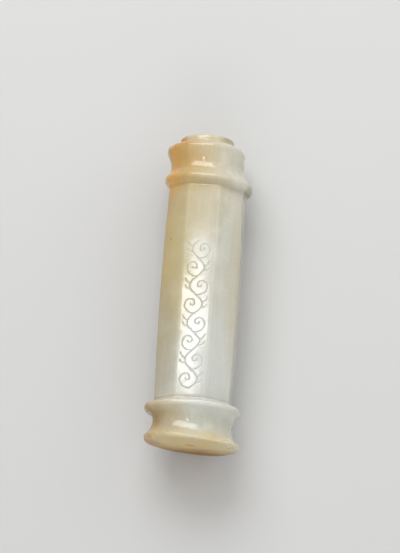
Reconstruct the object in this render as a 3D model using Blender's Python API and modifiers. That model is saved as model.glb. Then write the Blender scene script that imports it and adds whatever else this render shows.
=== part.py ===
"""Jade tube bead: an eight-sided barrel between two worn, nearly round collars, drilled through for a cord.

The stone is modelled upright, foot down, and then laid down as it rests on a table:
the bore runs along Y with the foot towards -Y, and one facet of the barrel faces straight up.
"""

import math

import bmesh
import bpy

# Driving dimensions in metres. Heights are counted up the stone from the middle of the foot face,
# and half widths are measured from the bore's axis to the middle of a facet.
SIDES = 8
STEPS_PER_SIDE = 5  # odd, so that each collar has a small flat under it to rest on
RING_STEPS = SIDES * STEPS_PER_SIDE
LENGTH = 0.0600

FOOT_FACE_HALF = 0.00880
FOOT_RIM_HEIGHT = 0.00050
FOOT_RIM_HALF = 0.00898
FOOT_ROUND = 0.00006
FOOT_COVE_DEPTH = 0.00141

LOWER_RIM_BASE = 0.00625
LOWER_RIM_TOP = 0.00705
LOWER_RIM_HALF = 0.00898
LOWER_RIM_ROUND = 0.00014
LOWER_SHELF_DIP = 0.00020

BARREL_FOOT = 0.00835
BARREL_HEAD = 0.04920
BARREL_END_HALF = 0.00710
BARREL_SWELL = 0.00033

UPPER_SHELF_DIP = 0.00012
UPPER_RIM_BASE = 0.05030
UPPER_RIM_TOP = 0.05130
UPPER_RIM_HALF = 0.00828
UPPER_RIM_ROUND = 0.00020
UPPER_COVE_DEPTH = 0.00062

NECK_HEIGHT = 0.05540
NECK_HALF = 0.00720
NECK_BULGE = 0.00022
SHOULDER_HEIGHT = 0.05780
SHOULDER_HALF = 0.00705
SHOULDER_CROWN = 0.00012

LIP_FOOT_HEIGHT = 0.05880
LIP_FOOT_HALF = 0.00550
LIP_RADIUS = 0.00528
LIP_EDGE_ROUND = 0.00025
LIP_ROOT = 0.00080
LIP_STEPS = 64

# Share of a true circle in the section: the barrel keeps its eight edges, the collars have worn round.
BARREL_ROUNDNESS = 0.06
COLLAR_ROUNDNESS = 0.60

# The collars were cut by hand, so they lean and wander a little off the bore.
FOOT_DRIFT = 0.0003
UPPER_RIM_DRIFT = 0.00015
LIP_DRIFT = -0.00065
FOOT_FACE_LEAN = math.radians(3.4)
FOOT_RIM_LEAN = math.radians(5.6)
UPPER_RIM_LEAN = math.radians(3.0)

BORE_RADIUS = 0.0010
MOUTH_RADIUS = 0.0012
MOUTH_DEPTH = 0.0004
BORE_STEPS = 32
CUTTER_OVERRUN = 0.002
MERGE_DISTANCE = 0.00001

JADE_COLOUR = (0.60, 0.59, 0.49, 1.0)
JADE_ROUGHNESS = 0.28
SHARP_ANGLE = math.radians(35)


def clear_scene():
    for obj in list(bpy.data.objects):
        bpy.data.objects.remove(obj, do_unlink=True)


def new_collection(name):
    collection = bpy.data.collections.new(name)
    bpy.context.scene.collection.children.link(collection)
    return collection


def add_object(name, mesh, collection):
    obj = bpy.data.objects.new(name, mesh)
    collection.objects.link(obj)
    return obj


def arc(start, end, bow, steps):
    """Points of a circular arc after start, up to and with end. A positive bow swells away from the axis."""
    rise = end[0] - start[0]
    gain = end[1] - start[1]
    chord = math.hypot(rise, gain)
    radius = (chord * chord / 4 + bow * bow) / (2 * abs(bow))
    half_angle = 2 * math.atan2(2 * abs(bow), chord)
    points = []
    for step in range(1, steps + 1):
        angle = half_angle * (2 * step / steps - 1)
        along = (chord / 2 + radius * math.sin(angle)) / chord
        out = math.copysign(radius * (math.cos(angle) - math.cos(half_angle)), bow) / chord
        points.append((start[0] + along * rise - out * gain, start[1] + along * gain + out * rise))
    return points


def outline():
    """(height, half width) from the foot face up to the foot of the lip."""
    # One row for each stretch: where it ends, how far it bows, and in how many steps.
    stretches = [
        ((FOOT_RIM_HEIGHT, FOOT_RIM_HALF), FOOT_ROUND, 2),
        ((LOWER_RIM_BASE, LOWER_RIM_HALF), -FOOT_COVE_DEPTH, 10),
        ((LOWER_RIM_TOP, LOWER_RIM_HALF), LOWER_RIM_ROUND, 4),
        ((BARREL_FOOT, BARREL_END_HALF), -LOWER_SHELF_DIP, 4),
        ((BARREL_HEAD, BARREL_END_HALF), BARREL_SWELL, 8),
        ((UPPER_RIM_BASE, UPPER_RIM_HALF), -UPPER_SHELF_DIP, 4),
        ((UPPER_RIM_TOP, UPPER_RIM_HALF), UPPER_RIM_ROUND, 4),
        ((NECK_HEIGHT, NECK_HALF), -UPPER_COVE_DEPTH, 8),
        ((SHOULDER_HEIGHT, SHOULDER_HALF), NECK_BULGE, 5),
        ((LIP_FOOT_HEIGHT, LIP_FOOT_HALF), SHOULDER_CROWN, 4),
    ]
    points = [(0.0, FOOT_FACE_HALF)]
    for end, bow, steps in stretches:
        points += arc(points[-1], end, bow, steps)
    return points


def ease(value, start, end):
    """0 at start and 1 at end, level at both."""
    share = min(max((value - start) / (end - start), 0.0), 1.0)
    return share * share * (3 - 2 * share)


def section_radius(angle, height):
    """Radius of the section, as a multiple of its half width: an octagon mixed with its inner circle."""
    facet = 2 * math.pi / SIDES
    from_facet_middle = (angle + facet / 2) % facet - facet / 2
    on_barrel = ease(height, LOWER_RIM_TOP, BARREL_FOOT) * ease(height, UPPER_RIM_BASE, BARREL_HEAD)
    roundness = COLLAR_ROUNDNESS + (BARREL_ROUNDNESS - COLLAR_ROUNDNESS) * on_barrel
    return (1 - roundness) / math.cos(from_facet_middle) + roundness


def rim_share(height):
    """1 on the upper rim, fading to 0 down on the barrel and up at the neck."""
    rim_width = UPPER_RIM_TOP - UPPER_RIM_BASE
    below = ease(height, BARREL_HEAD - rim_width, UPPER_RIM_BASE)
    return below - ease(height, UPPER_RIM_TOP, NECK_HEIGHT)


def drift(height):
    """How far the section's centre stands to the side of the bore."""
    at_foot = ease(height, LOWER_RIM_BASE, 0.0)
    at_lip = ease(height, UPPER_RIM_TOP, NECK_HEIGHT)
    return FOOT_DRIFT * at_foot + UPPER_RIM_DRIFT * rim_share(height) + LIP_DRIFT * at_lip


def lean(height):
    """How steeply the section falls towards +X."""
    on_foot_face = max(1.0 - height / FOOT_RIM_HEIGHT, 0.0)
    on_foot_rim = ease(height, LOWER_RIM_TOP, FOOT_RIM_HEIGHT) - on_foot_face
    at_foot = math.tan(FOOT_FACE_LEAN) * on_foot_face + math.tan(FOOT_RIM_LEAN) * on_foot_rim
    return at_foot + math.tan(UPPER_RIM_LEAN) * rim_share(height)


def ring_points(height, half_width):
    """Corners of one section of the stone, counted round from the first corner of bmesh's circle."""
    points = []
    for step in range(RING_STEPS):
        angle = 2 * math.pi * (step + 0.5) / RING_STEPS
        radius = half_width * section_radius(angle, height)
        x = drift(height) + radius * math.cos(angle)
        points.append((x, radius * math.sin(angle), height - lean(height) * x))
    return points


def stone_body(name, collection):
    """Extrudes a ring of points up the outline, one section for each of its points."""
    bm = bmesh.new()
    bmesh.ops.create_circle(bm, cap_ends=True, segments=RING_STEPS, radius=FOOT_FACE_HALF)
    bm.faces.ensure_lookup_table()
    top = bm.faces[0]
    for index, (height, half_width) in enumerate(outline()):
        if index:
            top = bmesh.ops.extrude_discrete_faces(bm, faces=[top])["faces"][0]
        for vert, point in zip(top.verts, ring_points(height, half_width)):
            vert.co = point
    bmesh.ops.holes_fill(bm, edges=bm.edges[:], sides=RING_STEPS)
    bmesh.ops.recalc_face_normals(bm, faces=bm.faces[:])
    mesh = bpy.data.meshes.new(name)
    bm.to_mesh(mesh)
    bm.free()
    return add_object(name, mesh, collection)


def turned_solid(name, profile, steps, collection):
    """A closed turned solid. The profile lists (radius, height) down its outer side, from axis to axis."""
    mesh = bpy.data.meshes.new(name)
    edges = [(index, index + 1) for index in range(len(profile) - 1)]
    mesh.from_pydata([(radius, 0.0, height) for radius, height in profile], edges, [])
    obj = add_object(name, mesh, collection)
    screw = obj.modifiers.new("turned", "SCREW")
    screw.steps = steps
    screw.render_steps = steps
    screw.use_merge_vertices = True
    screw.merge_threshold = MERGE_DISTANCE
    return obj


def lip_ring(collection):
    """The low round lip that stands on the shoulder, with its root sunk in the stone."""
    profile = [
        (0.0, LENGTH),
        (LIP_RADIUS - LIP_EDGE_ROUND, LENGTH),
        (LIP_RADIUS, LENGTH - LIP_EDGE_ROUND),
        (LIP_RADIUS, LIP_FOOT_HEIGHT - LIP_ROOT),
        (0.0, LIP_FOOT_HEIGHT - LIP_ROOT),
    ]
    ring = turned_solid("lip_ring", profile, LIP_STEPS, collection)
    ring.location.x = LIP_DRIFT
    return ring


def bore_drill(collection):
    """The bore, drilled from both ends, with its mouths worn a little wider."""
    top = LENGTH + CUTTER_OVERRUN
    profile = [
        (0.0, top),
        (MOUTH_RADIUS, top),
        (MOUTH_RADIUS, LENGTH),
        (BORE_RADIUS, LENGTH - MOUTH_DEPTH),
        (BORE_RADIUS, MOUTH_DEPTH),
        (MOUTH_RADIUS, 0.0),
        (MOUTH_RADIUS, -CUTTER_OVERRUN),
        (0.0, -CUTTER_OVERRUN),
    ]
    return turned_solid("bore_drill", profile, BORE_STEPS, collection)


def hide_helper(obj):
    obj.hide_render = True
    obj.display_type = "WIRE"


def boolean(obj, other, operation):
    modifier = obj.modifiers.new(other.name, "BOOLEAN")
    modifier.operation = operation
    modifier.object = other
    modifier.solver = "EXACT"


def jade_material():
    material = bpy.data.materials.new("pale_jade")
    material.use_nodes = True
    shader = material.node_tree.nodes["Principled BSDF"]
    shader.inputs["Base Color"].default_value = JADE_COLOUR
    shader.inputs["Roughness"].default_value = JADE_ROUGHNESS
    shader.inputs["Metallic"].default_value = 0.0
    return material


def lay_down(obj):
    """Turns the upright stone so that its lip points along +Y, its front facet faces up and it meets Z = 0."""
    foot_low = min(z for _, _, z in ring_points(0.0, FOOT_FACE_HALF))
    axis_height = max(y for height, half_width in outline() for _, y, _ in ring_points(height, half_width))
    obj.rotation_euler = (-math.pi / 2, 0.0, 0.0)
    obj.location = (0.0, -(LENGTH + foot_low) / 2, axis_height)


def main():
    clear_scene()
    parts = new_collection("jade_tube_bead")
    helpers = new_collection("helpers")

    stone = stone_body("bead_stone", parts)
    stone.data.shade_smooth()
    stone.data.set_sharp_from_angle(angle=SHARP_ANGLE)
    stone.data.materials.append(jade_material())

    # The lip and the drill are parented to the stone, so they are laid down with it.
    for helper, operation in ((lip_ring(helpers), "UNION"), (bore_drill(helpers), "DIFFERENCE")):
        helper.parent = stone
        hide_helper(helper)
        boolean(stone, helper, operation)

    lay_down(stone)


main()
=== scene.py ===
import math

import bpy
import numpy as np
from mathutils import Matrix, Vector


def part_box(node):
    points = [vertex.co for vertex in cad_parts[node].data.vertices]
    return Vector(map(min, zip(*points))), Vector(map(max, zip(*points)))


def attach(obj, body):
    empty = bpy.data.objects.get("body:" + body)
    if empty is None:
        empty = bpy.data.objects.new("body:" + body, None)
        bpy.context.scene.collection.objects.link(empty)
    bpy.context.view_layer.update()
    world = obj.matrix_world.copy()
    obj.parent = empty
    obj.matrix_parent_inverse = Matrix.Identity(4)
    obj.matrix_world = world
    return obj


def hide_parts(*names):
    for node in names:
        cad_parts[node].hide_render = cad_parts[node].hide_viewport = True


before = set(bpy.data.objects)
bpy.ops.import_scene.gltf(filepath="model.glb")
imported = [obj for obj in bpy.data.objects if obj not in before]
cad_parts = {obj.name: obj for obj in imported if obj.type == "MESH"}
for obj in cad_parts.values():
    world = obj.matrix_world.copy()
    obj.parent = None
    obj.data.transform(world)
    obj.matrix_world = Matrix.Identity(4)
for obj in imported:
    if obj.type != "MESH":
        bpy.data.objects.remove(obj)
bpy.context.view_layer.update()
mm = 0.001
stoneLow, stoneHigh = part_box("bead_stone")
axisHeight = (stoneLow.z + stoneHigh.z) / 2  # the bore's height as the bead lies
print("frame loaded, stone box", [round(v / mm, 2) for v in stoneHigh - stoneLow], "mm")


def hexColor(code):  # sRGB hex to linear
    parts = [int(code[i:i + 2], 16) / 255 for i in (1, 3, 5)]
    return [p / 12.92 if p <= 0.04045 else ((p + 0.055) / 1.055) ** 2.4 for p in parts] + [1.0]


def addNode(tree, kind, inputs=None, **settings):  # a new node, with its settings, values and links
    made = tree.nodes.new(kind)
    for name, value in settings.items():
        setattr(made, name, value)
    for name, value in (inputs or {}).items():
        if isinstance(value, bpy.types.NodeSocket):
            tree.links.new(value, made.inputs[name])
        else:
            made.inputs[name].default_value = value
    return made


def ease(share):  # 0 to 1, level at both ends
    share = np.clip(share, 0.0, 1.0)
    return share * share * (3 - 2 * share)


# Stone shape, in millimetres. Heights run up from the middle of the foot face, half widths from the bore.
stone = {
    "length": 60.0,
    "sides": 8,
    "cornerSharpness": 110,      # higher is a crisper edge between facets, 110 rounds it to about 0.6 mm
    "edgeSoftening": 0.10,       # hand polish softens every turned edge over about this distance
    "traceStep": 0.02,           # between points of the traced outline
    "wobble": 0.008,             # unevenness of hand grinding
    "wobbleSize": 12.0,
    "wobbleSpread": (0.6, 1.6),  # its shortest and longest waves, as shares of that size
    "wobbleWaves": 10,
    "wobbleLevel": 3.2,          # brings the sum of the waves mostly within -1 to 1
    "wornFrom": 4.5,             # right of this the foot is worn back up
    "wornCurve": 0.36,
    "scoop": 1.5,                # how steeply a chip goes in
    "frontColumns": 84,          # mesh columns on the engraved facet
    "plainColumns": 13,          # and on a plain one
    "evenColumns": 0.45,         # how evenly those stand, the rest of 1 crowds them towards the edges
    "plainRowSpacing": 0.50,     # rows on the barrel above the engraving
    "closeRows": 0.8,            # rows stay close for this far past the engraving and below the upper rim
    "seed": 7,
}

# The outline as one closed loop: out over the foot, up the side, over the lip and down the bore.
outlineStart = (0.0, 1.20, 1.00, 0.00, 3.4)  # height, half width, roundness, drift, lean in degrees
# name, end height, end half width, bow, roundness, drift, lean in degrees, row spacing
outline = [
    ("footFace", 0.00, 8.90, 0.00, 0.76, 0.26, 3.4, 0.45),
    ("footEdge", 0.50, 9.06, 0.06, 0.76, 0.26, 5.6, 0.10),
    ("footCove", 3.62, 7.56, -0.38, 0.74, 0.16, 4.8, 0.16),
    ("lowerCove", 6.25, 8.98, -0.40, 0.72, 0.00, 0.23, 0.16),
    ("lowerRim", 7.20, 8.98, 0.14, 0.72, 0.00, 0.0, 0.12),
    ("lowerShelf", 8.05, 6.97, -0.14, 0.10, 0.00, 0.0, 0.12),
    ("footGroove", 8.30, 7.11, 0.00, 0.06, 0.00, 0.0, 0.06),
    ("barrel", 49.55, 7.10, 0.33, 0.06, 0.03, 1.0, 0.10),
    ("upperShelf", 50.28, 8.14, 0.06, 0.70, 0.17, 3.4, 0.10),
    ("upperRim", 51.66, 8.14, 0.29, 0.74, 0.17, 3.2, 0.12),
    ("upperCove", 54.40, 7.06, -0.34, 0.78, -0.28, 0.4, 0.16),
    ("neck", 56.95, 7.48, -0.04, 0.78, -0.68, 0.0, 0.20),
    ("shoulderRoll", 57.95, 7.00, 0.20, 0.82, -0.76, 0.0, 0.07),
    ("shoulder", 58.80, 5.45, 0.06, 0.95, -0.68, 0.0, 0.16),
    ("lipGroove", 58.85, 5.28, 0.00, 1.00, -0.65, 0.0, 0.12),
    ("lipSide", 59.62, 5.24, 0.03, 1.00, -0.65, 0.0, 0.16),
    ("lipEdge", 60.00, 4.85, 0.10, 1.00, -0.65, 0.0, 0.10),
    ("lipFace", 60.00, 1.20, 0.00, 1.00, 0.00, 0.0, 0.45),
    ("lipMouth", 59.60, 1.00, 0.03, 1.00, 0.00, 0.0, 0.15),
    ("bore", 0.40, 1.00, 0.00, 1.00, 0.00, 0.0, 4.00),
    ("footMouth", 0.00, 1.20, 0.03, 1.00, 0.00, 3.4, 0.15),
]
outlineOrder = [row[0] for row in outline]


def bowedLine(start, end, bow, steps):  # points after start, on a curve that swells out by bow
    share = np.arange(1, steps + 1) / steps
    along = np.outer(share, end - start) + start
    side = np.array([-(end - start)[1], (end - start)[0]]) / np.linalg.norm(end - start)
    swell = 4 * bow * share * (1 - share)
    return along + np.outer(swell, side)


def traceOutline():  # by mesh row: (height, half width), (roundness, drift, lean, spacing), stretch
    step = stone["traceStep"]
    points, extras, stretch = [], [], []
    here, extra = np.array(outlineStart[:2]), np.array(outlineStart[2:])
    for index, row in enumerate(outline):
        height, half, bow, roundness, drift, lean, spacing = row[1:]
        there, after = np.array([height, half]), np.array([roundness, drift, lean])
        steps = max(4, int(np.linalg.norm(there - here) / step))  # a short stretch still gets 4 points
        points.append(bowedLine(here, there, bow, steps))
        turn = ease(np.arange(1, steps + 1) / steps)[:, None]
        extras.append(np.hstack([extra + turn * (after - extra), np.full((steps, 1), spacing)]))
        stretch += [index] * steps
        here, extra = there, after
    points, extras, stretch = np.vstack(points), np.vstack(extras), np.array(stretch)

    barrel = outlineOrder.index("barrel")
    plain = stretch == barrel
    plain &= points[:, 0] > scroll["top"] + stone["closeRows"]
    plain &= points[:, 0] < outline[barrel][1] - stone["closeRows"]
    extras[plain, 3] = stone["plainRowSpacing"]

    soft = stone["edgeSoftening"]
    reach = int(4 * soft / step)  # soften the corners along the loop, out to 4 deviations
    kernel = np.exp(-0.5 * (np.arange(-reach, reach + 1) * step / soft) ** 2)
    kernel /= kernel.sum()
    for column in (0, 1):
        padded = np.concatenate([points[-reach:, column], points[:, column], points[:reach, column]])
        points[:, column] = np.convolve(padded, kernel, "valid")

    gap = np.linalg.norm(np.roll(points, -1, 0) - points, axis=1)
    travelled = np.concatenate([[0], np.cumsum(gap / extras[:, 3])])
    stops = np.linspace(0, travelled[-1], int(travelled[-1]), endpoint=False)
    rows = np.unique(np.clip(np.searchsorted(travelled, stops), 0, len(points) - 1))
    return points[rows], extras[rows], stretch[rows]


def columnAngles():  # from straight up, turning towards +X, nearly half of them on the engraved facet
    facet = 2 * math.pi / stone["sides"]
    even = stone["evenColumns"]
    angles = []
    for side in range(stone["sides"]):
        count = stone["plainColumns"] if side else stone["frontColumns"]
        share = (np.arange(count) + 0.5) / count * 2 - 1
        if side:
            share = even * share + (1 - even) * np.sin(share * math.pi / 2)
        angles.append(side * facet + np.arctan(share * math.tan(facet / 2)))
    return np.concatenate(angles)


# Engraving on the front facet: a plain running scroll, one curl to a bay, cut in short strokes
# that run out at both ends, as a jade cutter's small wheel leaves them. Lengths are in millimetres.
scroll = {
    "foot": 9.7,                  # heights of its two ends
    "top": 38.4,
    "bays": 8,
    "stemSwing": 1.35,            # how far the stem swings to each side
    "stemStep": 0.1,
    "curlAside": 0.75,            # where a curl's eye sits, to the other side of the bay
    "curlLift": 0.1,              # and above the bay's middle
    "curlEnd": 0.26,              # radius of the eye
    "curlTurns": 1.35,
    "curlPoints": 90,
    "leaves": ((0.30, 1.05), (-0.75, 0.75)),  # root above the bay's middle, tip above the root
    "leafRoot": 0.98,             # share of the stem's swing
    "leafOut": 2.25,
    "leafBend": (0.10, -0.16),
    "leafPoints": 12,
    "strokeLength": 0.75,
    "curlStroke": 0.50,
    "strokeVaries": 0.2,          # share of the length
    "strokeOverlap": 0.10,
    "strokeEnd": 0.45,            # how full a stroke is where it runs out
    "cutWidth": 0.22,
    "cutVaries": (0.8, 1.25),
    "cutFlank": 1.2,              # a cut's flank ends this many half widths out
    "cutDepth": 0.075,
    "unsteady": 0.03,             # how far the hand strays
    "seed": 21,
}


def scrollCurves():  # (points across and along the facet, stroke length)
    bay = (scroll["top"] - scroll["foot"]) / scroll["bays"]
    along = np.arange(scroll["foot"], scroll["top"], scroll["stemStep"])
    stem = scroll["stemSwing"] * np.sin(math.pi * (along - scroll["foot"]) / bay)
    curves = [(np.stack([stem, along], -1), scroll["strokeLength"])]
    for number in range(scroll["bays"]):
        side = -1 if number % 2 else 1
        middle = scroll["foot"] + (number + 0.5) * bay
        eye = np.array([-side * scroll["curlAside"], middle + scroll["curlLift"]])
        first = np.array([0, middle - bay / 2]) - eye
        start = np.linalg.norm(first)
        turn = np.linspace(0, 2 * math.pi * scroll["curlTurns"], scroll["curlPoints"])
        radius = start * (scroll["curlEnd"] / start) ** (turn / turn[-1])
        angle = math.atan2(first[1], first[0]) - side * turn
        curl = eye + np.stack([radius * np.cos(angle), radius * np.sin(angle)], -1)
        curves.append((curl, scroll["curlStroke"]))
        share = np.linspace(0, 1, scroll["leafPoints"])[:, None]
        bendOut, bendUp = scroll["leafBend"]
        for rise, lift in scroll["leaves"]:  # on the stem's outer side
            root = np.array([side * scroll["stemSwing"] * scroll["leafRoot"], middle + rise])
            tip = np.array([side * scroll["leafOut"], middle + rise + lift])
            bend = np.array([side * bendOut, bendUp]) * 4 * share * (1 - share)
            curves.append((root + share * (tip - root) + bend, scroll["strokeLength"]))
    return curves


def scrollStrokes():  # straight strokes as (start, end) along the curves
    hand = np.random.default_rng(scroll["seed"])
    varies, unsteady = scroll["strokeVaries"], scroll["unsteady"]
    strokes = []
    for curve, length in scrollCurves():
        travelled = np.concatenate([[0], np.cumsum(np.linalg.norm(np.diff(curve, axis=0), axis=1))])
        count = max(1, round(travelled[-1] / length))
        stops = np.linspace(0, travelled[-1], count + 1)
        stops[1:-1] += hand.uniform(-varies, varies, count - 1) * length
        places = np.stack([np.interp(stops, travelled, curve[:, axis]) for axis in (0, 1)], -1)
        for start, end in zip(places[:-1], places[1:]):
            past = (end - start) * scroll["strokeOverlap"]
            begun = start - past + hand.normal(0, unsteady, 2)
            ended = end + past + hand.normal(0, unsteady, 2)
            strokes.append((begun, ended))
    return strokes


def cutAmount(across, along):  # 0 on the polished facet, 1 at the bottom of a cut
    deepest = np.zeros(across.shape)
    hand = np.random.default_rng(scroll["seed"] + 1)
    atEnd = scroll["strokeEnd"]
    for start, end in scrollStrokes():
        run = end - start
        share = ((across - start[0]) * run[0] + (along - start[1]) * run[1]) / (run @ run)
        share = np.clip(share, 0, 1)
        away = np.hypot(across - start[0] - share * run[0], along - start[1] - share * run[1])
        fullness = atEnd + (1 - atEnd) * np.sqrt(4 * share * (1 - share))  # thin and shallow at its ends
        halfWidth = scroll["cutWidth"] / 2 * hand.uniform(*scroll["cutVaries"]) * fullness
        deepest = np.maximum(deepest, fullness * (1 - ease(away / halfWidth / scroll["cutFlank"])))
    return deepest


# Wear at the rims: height, angle from the top in degrees, size, depth, all mm but the angle
chips = [
    (1.00, 66, 2.1, 0.26),
    (0.25, 131, 1.1, 0.22),
    (0.30, -160, 1.4, 0.25),
    (0.30, -67, 0.8, 0.12),
    (6.70, -82, 0.9, 0.14),
    (6.75, 150, 1.0, 0.18),
    (50.8, -95, 0.8, 0.14),
    (50.9, 120, 0.9, 0.16),
    (57.6, -60, 0.7, 0.10),
    (59.8, 40, 0.5, 0.08),
    (59.8, -140, 0.6, 0.12),
    (59.9, 175, 0.5, 0.10),
]


def handWobble(x, y, z):  # slow bumps left by grinding, mostly within -1 to 1
    draw = np.random.default_rng(stone["seed"])
    total = np.zeros(x.shape)
    for _ in range(stone["wobbleWaves"]):
        wave = draw.normal(0, 1, 3)
        size = stone["wobbleSize"] * draw.uniform(*stone["wobbleSpread"])
        wave *= 2 * math.pi / size / np.linalg.norm(wave)
        total += np.sin(wave[0] * x + wave[1] * y + wave[2] * z + draw.uniform(0, 2 * math.pi))
    return total / stone["wobbleLevel"]


def makeStone():
    points, extras, stretch = traceOutline()
    angle = columnAngles()
    sharpness = stone["cornerSharpness"]
    facetTurns = [side * 2 * math.pi / stone["sides"] for side in range(stone["sides"])]
    toFacet = [np.clip(np.cos(angle - turn), 0, 1) for turn in facetTurns]
    octagon = sum(c ** sharpness for c in toFacet) ** (-1 / sharpness)

    height, half = points[:, :1], points[:, 1:]
    roundness, drift, lean = (extras[:, i:i + 1] for i in range(3))
    radius = half * ((1 - roundness) * octagon + roundness)

    onSide = (stretch >= outlineOrder.index("footEdge")) & (stretch <= outlineOrder.index("lipEdge"))
    fade = 3  # rows over which wear fades out onto the end faces
    window = np.ones(2 * fade + 1) / (2 * fade + 1)
    outside = np.convolve(np.pad(onSide.astype(float), fade, "wrap"), window, "valid")[:, None]
    flat = height + 0 * radius
    bumps = handWobble(radius * np.sin(angle), flat, radius * np.cos(angle))
    radius = radius + outside * stone["wobble"] * bumps

    cut = np.zeros(radius.shape)
    across = radius * np.sin(angle)
    frontColumns = np.abs(angle) < math.pi / stone["sides"]
    barrelRows = stretch == outlineOrder.index("barrel")
    onFront = frontColumns[None, :] & barrelRows[:, None]
    cut[onFront] = cutAmount(across[onFront], flat[onFront])
    radius = radius - scroll["cutDepth"] * cut

    chipped = np.zeros(radius.shape)
    for chipHeight, degrees, size, depth in chips:
        turn = (angle - math.radians(degrees) + math.pi) % (2 * math.pi) - math.pi
        away = np.hypot(turn * half, height - chipHeight) / size
        scar = np.clip(1 - away ** 2, 0, 1) ** stone["scoop"] * outside
        radius = radius - depth * scar
        chipped = np.maximum(chipped, scar)

    x = drift + radius * np.sin(angle)
    worn = stone["wornCurve"] * np.clip(x - stone["wornFrom"], 0, None) ** 2
    onFoot = (height < outline[outlineOrder.index("lowerRim")][1]).astype(float)
    y = height - np.tan(np.radians(lean)) * (x - onFoot * worn)
    z = radius * np.cos(angle)
    place = np.stack([x * mm, y * mm + stoneHigh.y - stone["length"] * mm, z * mm + axisHeight], -1)

    rows, columns = radius.shape
    index = np.arange(rows * columns).reshape(rows, columns)
    below, right = np.roll(index, -1, 0), np.roll(index, -1, 1)
    corner = np.roll(below, -1, 1)
    faces = np.stack([index, right, corner, below], -1).reshape(-1, 4)
    mesh = bpy.data.meshes.new("beadStoneMesh")
    mesh.from_pydata(place.reshape(-1, 3).tolist(), [], faces.tolist())
    mesh.validate()
    mesh.shade_smooth()
    for name, values in (("engraved", cut), ("chipped", chipped)):
        layer = mesh.attributes.new(name, "FLOAT", "POINT")
        layer.data.foreach_set("value", values.ravel().astype(np.float32))
    made = bpy.data.objects.new("bead_stone_carved", mesh)
    bpy.context.scene.collection.objects.link(made)
    print("stone carved:", rows, "rows,", columns, "columns,", len(faces) * 2, "triangles")
    return made


carved = makeStone()
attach(carved, "root")
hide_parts("bead_stone")


# Nephrite, ground and then polished by hand: a pale body with a soft glow under the surface,
# faint clouds and felted fibres, and the stone's own glassy shine with crisp highlights.
jade = {
    "body": "#c9c7b9",
    "cloud": "#d3d2c5",
    "grime": "#86806a",             # old dirt in the cuts
    "grimeShare": 0.25,
    "frost": "#d9d5c6",             # fresh stone in a chip
    "frostShare": 0.25,
    "speck": "#5a4a34",             # dark grains
    "speckShare": 0.6,
    "speckCore": 0.4,               # share of a grain's size that is fully dark
    "roughness": 0.09,
    "roughnessVaries": 0.02,
    "brokenDull": 0.20,             # roughness added in cuts and chips
    "ior": 1.61,
    "glow": 0.28,                   # share of light that goes under the surface
    "glowDepth": 1.4,               # mm
    "glowSpread": (1.0, 0.85, 0.55),  # red goes furthest
    "cloudSize": 5.0,               # mm, as all sizes below
    "streakWidth": 0.7,
    "streakLength": 9.0,
    "fibreSize": 0.45,              # felted fibres, drawn coarser than the real 0.1 mm so that they show
    "fibreHeight": 0.0025,
    "grainLift": 0.07,              # how far fibres and streaks lighten and darken the stone
    "rippleSize": 1.6,              # unevenness of the polish
    "rippleHeight": 0.006,
    "stainWander": 5.0,             # how far a stain's edge strays
    "stainCore": 0.25,              # share of its reach in which a stain is at its full strength
}

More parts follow.
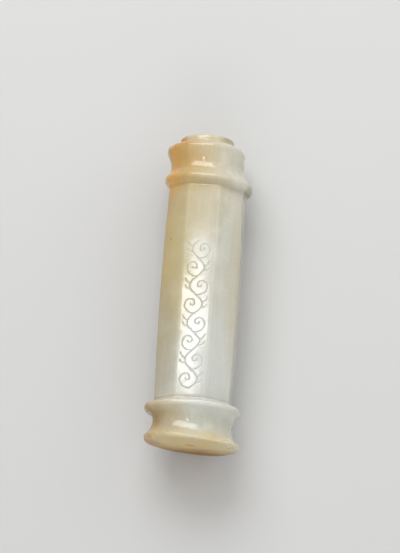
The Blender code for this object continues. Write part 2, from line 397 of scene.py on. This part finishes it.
# Stains of the pebble's skin, with painted shade in some, as marked below: colour, middle and reach in mm
# (across, along, up from the bore), strength, and how much duller than the polished stone.
stains = {
    "creamVeil": ("#c8b68a", (-7, 24, 2), (16.5, 24, 18), 0.90, 0.0),
    # tan skin down the left side, darkened further there as painted side shade
    "tanSkinAndSideShade": ("#b2956b", (-12.5, 8, -1), (13.5, 52, 18), 0.95, 0.0),
    "yellowVeil": ("#c4ae5c", (-5.5, 2, 6.5), (6.5, 23, 7), 0.55, 0.0),
    "coolFoot": ("#d0d2cb", (5, -15, 7), (11, 15, 14), 0.80, 0.0),
    "warmEdge": ("#bcb292", (9, 2, 1), (6, 28, 10), 0.60, 0.0),
    "topVeil": ("#bfb38d", (0, 14, 7), (5.5, 8, 5), 0.45, 0.0),
    "leftVeil": ("#a8a38c", (-7.5, -10, 3), (7.5, 17, 9), 0.50, 0.0),
    "paleRim": ("#d8d8d1", (3, -23.2, 7), (10, 2.6, 8), 0.60, 0.0),
    "honeyCrown": ("#c69c4e", (-9.5, 24.5, 4), (13, 8.5, 16), 1.00, 0.0),
    "orangeStreak": ("#d8943a", (-6.4, 23.0, 4.6), (1.3, 6.5, 2.6), 0.80, 0.0),
    "rimVeil": ("#bfa970", (-2, 20.6, 7), (11, 3.2, 9), 0.45, 0.0),
    "rimHoney": ("#d8a652", (-6.5, 20.9, 5), (4.5, 2.6, 5), 0.75, 0.0),
    "paleLip": ("#cec4a4", (0, 30.5, 4), (8, 2.6, 9), 0.80, 0.0),
    # painted shade on the right of the lip
    "lipShade": ("#a89878", (5.0, 30, 2), (5.0, 2.6, 6), 0.95, 0.0),
    "honeyGroove": ("#c4862f", (-5.0, 28.4, 4), (5.0, 1.8, 6.0), 0.95, 0.0),
    # painted shade on the right tip of the upper rim
    "rimShade": ("#8f8a6e", (9.2, 20.2, -1), (3.0, 2.6, 6), 0.80, 0.0),
    "rimTip": ("#c28e50", (-9.3, -23.2, -1), (6.5, 4.2, 8), 0.95, 0.1),
    "collarVeil": ("#cfbb80", (-6, -24.5, 6), (8.5, 4.8, 8), 0.50, 0.0),
    # painted shade, dark brown, in the left of the hollow above the foot
    "coveShade": ("#a07d38", (-9.8, -27, 0), (14.2, 6.4, 14), 1.00, 0.0),
    "greyCove": ("#b9baa9", (5, -27, 6), (11, 4, 8), 0.60, 0.0),
    "footSkin": ("#d6bc78", (-2, -32.5, 0), (24, 6.5, 24), 1.00, 0.35),
    "footTip": ("#a56e2a", (-9.4, -29.4, -1), (5.2, 3.2, 8), 0.90, 0.2),
    # brown skin at the lower edge of the foot face, with painted shade where it comes down to the table
    "footEdgeSkinAndShade": ("#94682a", (1, -31.0, -9.5), (20, 6.4, 10.5), 1.00, 0.45),
    "backVein": ("#bb9257", (3, 6, -8), (3.2, 24, 4), 0.60, 0.0),
    "backCloud": ("#d9d8cd", (-3, -12, -8), (6, 13, 6), 0.60, 0.0),
}
# Dark grains in the stone: place in mm as above, and size.
specks = [
    ((-5.86, 9.30, 4.53), 0.22),
    ((6.2, -8.5, 3.6), 0.13),
    ((2.6, 14.5, 6.9), 0.12),
    ((-6.9, -14.0, -1.5), 0.16),
    ((5.0, 3.0, -5.2), 0.20),
    ((-2.0, -4.5, -7.4), 0.18),
]


def jadeMaterial():
    made = bpy.data.materials.new("paleNephriteHandPolished")
    made.use_nodes = True
    tree = made.node_tree
    tree.nodes.clear()
    place = addNode(tree, "ShaderNodeTexCoord").outputs["Object"]
    inMm = addNode(tree, "ShaderNodeVectorMath",
                   {0: place, 1: (1 / mm,) * 3, 2: (0, 0, -axisHeight / mm)},
                   operation="MULTIPLY_ADD").outputs[0]

    clouds = addNode(tree, "ShaderNodeTexNoise",
                     {"Vector": inMm, "Scale": 1 / jade["cloudSize"], "Detail": 3.0, "Roughness": 0.55})
    streakScale = (1 / jade["streakWidth"], 1 / jade["streakLength"], 1 / jade["streakWidth"])
    drawnOut = addNode(tree, "ShaderNodeVectorMath", {0: inMm, 1: streakScale},
                       operation="MULTIPLY").outputs[0]
    streaks = addNode(tree, "ShaderNodeTexNoise",
                      {"Vector": drawnOut, "Scale": 1.0, "Detail": 2.0}).outputs["Fac"]
    fibres = addNode(tree, "ShaderNodeTexNoise",
                     {"Vector": inMm, "Scale": 1 / jade["fibreSize"], "Detail": 2.0,
                      "Roughness": 0.6}).outputs["Fac"]
    ripples = addNode(tree, "ShaderNodeTexNoise",
                      {"Vector": inMm, "Scale": 1 / jade["rippleSize"], "Detail": 1.5}).outputs["Fac"]

    cloudy = addNode(tree, "ShaderNodeMapRange",
                     {"Value": clouds.outputs["Fac"], "From Min": 0.35, "From Max": 0.7},
                     interpolation_type="SMOOTHSTEP").outputs["Result"]
    color = addNode(tree, "ShaderNodeMix",
                    {0: cloudy, 6: hexColor(jade["body"]), 7: hexColor(jade["cloud"])},
                    data_type="RGBA").outputs[2]

    stray = addNode(tree, "ShaderNodeVectorMath", {0: clouds.outputs["Color"], 1: (0.5, 0.5, 0.5)},
                    operation="SUBTRACT").outputs[0]
    strayed = addNode(tree, "ShaderNodeVectorMath", {0: stray, 1: (jade["stainWander"],) * 3, 2: inMm},
                      operation="MULTIPLY_ADD").outputs[0]
    dull = 0.0
    for hue, middle, reach, strength, duller in stains.values():
        offset = addNode(tree, "ShaderNodeVectorMath", {0: strayed, 1: middle},
                         operation="SUBTRACT").outputs[0]
        scaled = addNode(tree, "ShaderNodeVectorMath", {0: offset, 1: reach}, operation="DIVIDE").outputs[0]
        away = addNode(tree, "ShaderNodeVectorMath", {0: scaled}, operation="LENGTH").outputs["Value"]
        share = addNode(tree, "ShaderNodeMapRange",
                        {"Value": away, "From Min": 1.0, "From Max": jade["stainCore"], "To Max": strength},
                        interpolation_type="SMOOTHSTEP").outputs["Result"]
        color = addNode(tree, "ShaderNodeMix", {0: share, 6: color, 7: hexColor(hue)},
                        data_type="RGBA").outputs[2]
        if duller:
            dull = addNode(tree, "ShaderNodeMix", {0: share, 2: dull, 3: duller}).outputs[0]
    for middle, size in specks:
        away = addNode(tree, "ShaderNodeVectorMath", {0: inMm, 1: middle},
                       operation="DISTANCE").outputs["Value"]
        share = addNode(tree, "ShaderNodeMapRange",
                        {"Value": away, "From Min": size, "From Max": size * jade["speckCore"],
                         "To Max": jade["speckShare"]},
                        interpolation_type="SMOOTHSTEP").outputs["Result"]
        color = addNode(tree, "ShaderNodeMix", {0: share, 6: color, 7: hexColor(jade["speck"])},
                        data_type="RGBA").outputs[2]

    grain = addNode(tree, "ShaderNodeMath", {0: fibres, 1: streaks}, operation="ADD").outputs[0]
    lift = addNode(tree, "ShaderNodeMapRange",
                   {"Value": grain, "From Min": 0.5, "From Max": 1.5,
                    "To Min": 1 - jade["grainLift"], "To Max": 1 + jade["grainLift"]}).outputs["Result"]
    color = addNode(tree, "ShaderNodeVectorMath", {0: color, "Scale": lift}, operation="SCALE").outputs[0]

    engraved = addNode(tree, "ShaderNodeAttribute", attribute_name="engraved").outputs["Fac"]
    chipped = addNode(tree, "ShaderNodeAttribute", attribute_name="chipped").outputs["Fac"]
    dirty = addNode(tree, "ShaderNodeMapRange",
                    {"Value": engraved, "From Min": 0.15, "From Max": 0.9,
                     "To Max": jade["grimeShare"]}).outputs["Result"]
    color = addNode(tree, "ShaderNodeMix", {0: dirty, 6: color, 7: hexColor(jade["grime"])},
                    data_type="RGBA").outputs[2]
    fresh = addNode(tree, "ShaderNodeMapRange",
                    {"Value": chipped, "From Min": 0.1, "From Max": 0.8,
                     "To Max": jade["frostShare"]}).outputs["Result"]
    color = addNode(tree, "ShaderNodeMix", {0: fresh, 6: color, 7: hexColor(jade["frost"])},
                    data_type="RGBA").outputs[2]

    broken = addNode(tree, "ShaderNodeMath", {0: engraved, 1: chipped}, operation="MAXIMUM").outputs[0]
    dull = addNode(tree, "ShaderNodeMapRange",
                   {"Value": broken, "To Min": dull, "To Max": jade["brokenDull"]}).outputs["Result"]
    polish = addNode(tree, "ShaderNodeMapRange",
                     {"Value": ripples, "From Min": 0.3, "From Max": 0.7,
                      "To Min": jade["roughness"] - jade["roughnessVaries"],
                      "To Max": jade["roughness"] + jade["roughnessVaries"]}).outputs["Result"]
    rough = addNode(tree, "ShaderNodeMath", {0: polish, 1: dull}, operation="ADD").outputs[0]
    uneven = addNode(tree, "ShaderNodeBump",
                     {"Height": ripples, "Strength": 1.0,
                      "Distance": jade["rippleHeight"] * mm}).outputs["Normal"]
    felted = addNode(tree, "ShaderNodeBump",
                     {"Height": fibres, "Strength": 1.0, "Distance": jade["fibreHeight"] * mm,
                      "Normal": uneven}).outputs["Normal"]
    shader = addNode(tree, "ShaderNodeBsdfPrincipled", {
        "Base Color": color,
        "Roughness": rough,
        "IOR": jade["ior"],
        "Normal": felted,
        "Subsurface Weight": jade["glow"],
        "Subsurface Radius": jade["glowSpread"],
        "Subsurface Scale": jade["glowDepth"] * mm,
    })
    addNode(tree, "ShaderNodeOutputMaterial", {"Surface": shader.outputs[0]})
    return made


carved.data.materials.append(jadeMaterial())
print("jade finished")


# The room around: the colour that shows, and soft light, stronger from above, the foot end and the right.
surround = {
    "color": "#cfcfcf",
    "lightColor": "#ffffff",
    "lightLow": 0.22,
    "lightHigh": 0.62,
    "brightSide": (0.45, -0.60, 0.66),
}

# Table: a pale plain board, tilted by the difference of the two rims so that the bead lies on both.
table = {
    "color": "#d0d0cf",
    "roughness": 0.6,
    "size": 3.0,           # metres
    "fadeFrom": 0.20,      # from here out the board fades into the room
    "fadeTo": 0.90,
    "lowRim": 6.65,        # where the two rims touch it, mm up the bead
    "highRim": 50.8,
    "highRimLift": 0.64,   # mm
}


def seenDirectly(tree):  # 1 for what the eye sees, also in a polished surface, and 0 for soft light
    path = addNode(tree, "ShaderNodeLightPath").outputs
    mirrored = addNode(tree, "ShaderNodeMath", {0: path["Is Glossy Ray"], 1: path["Is Transmission Ray"]},
                       operation="ADD").outputs[0]
    return addNode(tree, "ShaderNodeMath", {0: path["Is Camera Ray"], 1: mirrored},
                   operation="ADD", use_clamp=True).outputs[0]


def makeTable():
    half = table["size"] / 2
    corners = [(-half, -half, 0), (half, -half, 0), (half, half, 0), (-half, half, 0)]
    mesh = bpy.data.meshes.new("tableMesh")
    mesh.from_pydata(corners, [], [(0, 1, 2, 3)])
    made = bpy.data.objects.new("table", mesh)
    bpy.context.scene.collection.objects.link(made)
    made.location = (0, stoneHigh.y + (table["lowRim"] - stone["length"]) * mm, stoneLow.z)
    made.rotation_euler.x = math.atan2(table["highRimLift"], table["highRim"] - table["lowRim"])
    paint = bpy.data.materials.new("paleMattPaint")  # even, with a faint eggshell sheen
    paint.use_nodes = True
    tree = paint.node_tree
    tree.nodes.clear()
    board = addNode(tree, "ShaderNodeBsdfPrincipled",
                    {"Base Color": hexColor(table["color"]), "Roughness": table["roughness"]})
    room = addNode(tree, "ShaderNodeEmission", {"Color": hexColor(surround["color"]), "Strength": 1.0})
    place = addNode(tree, "ShaderNodeTexCoord").outputs["Object"]
    away = addNode(tree, "ShaderNodeVectorMath", {0: place}, operation="LENGTH").outputs["Value"]
    far = addNode(tree, "ShaderNodeMapRange",
                  {"Value": away, "From Min": table["fadeFrom"], "From Max": table["fadeTo"]},
                  interpolation_type="SMOOTHSTEP").outputs["Result"]
    share = addNode(tree, "ShaderNodeMath", {0: far, 1: seenDirectly(tree)}, operation="MULTIPLY").outputs[0]
    either = addNode(tree, "ShaderNodeMixShader", {0: share, 1: board.outputs[0], 2: room.outputs[0]})
    addNode(tree, "ShaderNodeOutputMaterial", {"Surface": either.outputs[0]})
    mesh.materials.append(paint)


makeTable()
print("table laid")


# Lamps: middle in metres from the bead's middle (right of it, towards its lip, up), size and radiance.
lamps = {
    "stripBox": {"middle": (-0.057, 0.102, 0.49), "size": (0.040, 0.056), "radiance": 9.0},
    "footStrip": {"middle": (-0.062, 0.060, 0.49), "size": (0.025, 0.040), "radiance": 9.5},
    "sidePanel": {"middle": (-0.052, 0.139, 0.49), "size": (0.026, 0.026), "radiance": 5.5},
    "window": {"middle": (-0.095, 0.385, 0.450), "size": (0.47, 0.33), "radiance": 4.4},
    "reflector": {"middle": (0.352, 0.386, 0.295), "size": (0.80, 0.25), "radiance": 1.0},
    "footFill": {"middle": (0.060, -0.500, 0.230), "size": (0.50, 0.32), "radiance": 1.4, "inPolish": False},
}


def makeLamps():
    centre = Vector((0, 0, axisHeight))
    for name, lamp in lamps.items():
        data = bpy.data.lights.new(name, "AREA")
        data.shape = "RECTANGLE"
        data.size, data.size_y = lamp["size"]
        data.energy = lamp["radiance"] * math.pi * data.size * data.size_y  # watts
        made = bpy.data.objects.new(name, data)
        bpy.context.scene.collection.objects.link(made)
        made.location = centre + Vector(lamp["middle"])
        made.rotation_euler = Vector(lamp["middle"]).to_track_quat("Z", "Y").to_euler()
        made.visible_glossy = lamp.get("inPolish", True)  # a fill lamp doesn't mirror in the stone
    world = bpy.data.worlds.new("studio")
    bpy.context.scene.world = world
    world.use_nodes = True
    tree = world.node_tree
    tree.nodes.clear()
    seen = addNode(tree, "ShaderNodeBackground", {"Color": hexColor(surround["color"]), "Strength": 1.0})
    aim = addNode(tree, "ShaderNodeTexCoord").outputs["Generated"]
    facing = addNode(tree, "ShaderNodeVectorMath", {0: aim, 1: surround["brightSide"]},
                     operation="DOT_PRODUCT").outputs["Value"]
    glow = addNode(tree, "ShaderNodeMapRange",
                   {"Value": facing, "From Min": -1.0, "From Max": 1.0,
                    "To Min": surround["lightLow"], "To Max": surround["lightHigh"]}).outputs["Result"]
    light = addNode(tree, "ShaderNodeBackground",
                    {"Color": hexColor(surround["lightColor"]), "Strength": glow})
    either = addNode(tree, "ShaderNodeMixShader",
                     {0: seenDirectly(tree), 1: light.outputs[0], 2: seen.outputs[0]})
    addNode(tree, "ShaderNodeOutputWorld", {"Surface": either.outputs[0]})


makeLamps()
print("lit by", ", ".join(lamps))


# Camera: looks down on the bead from a little beyond its foot and right of its front facet.
camera = {
    "towardsFoot": 13.67,         # degrees
    "towardsRight": 6.3,
    "roll": 4.02,
    "far": 0.567,                 # metres
    "frameHeight": 0.1058,        # metres of the picture's height at the bead
    "picture": (400, 553),
    "centreOffset": (0.4, 16.8),  # pixels that the bead's middle is right of and below the picture's
    "sensor": 36.0,
}


def makeCamera():
    centre = Vector((0, 0, axisHeight))
    aside = math.sin(math.radians(camera["towardsRight"]))
    beyond = math.sin(math.radians(camera["towardsFoot"]))
    back = Vector((aside, -beyond, 0))
    back.z = math.sqrt(1 - back.length_squared)
    right = (-back).cross(Vector((0, 1, 0))).normalized()
    up = right.cross(-back)
    roll = math.radians(camera["roll"])
    right, up = right * math.cos(roll) + up * math.sin(roll), up * math.cos(roll) - right * math.sin(roll)
    pixel = camera["frameHeight"] / camera["picture"][1]
    offset = up * camera["centreOffset"][1] * pixel - right * camera["centreOffset"][0] * pixel
    data = bpy.data.cameras.new("camera")
    data.sensor_width = camera["sensor"]
    data.lens = camera["sensor"] * camera["far"] / camera["frameHeight"]
    made = bpy.data.objects.new("camera", data)
    bpy.context.scene.collection.objects.link(made)
    turned = Matrix((right, up, back)).transposed().to_4x4()
    made.matrix_world = Matrix.Translation(centre + offset + back * camera["far"]) @ turned
    bpy.context.scene.camera = made


makeCamera()
print("camera placed")
bpy.context.scene.view_settings.view_transform = "Standard"
bpy.context.view_layer.update()
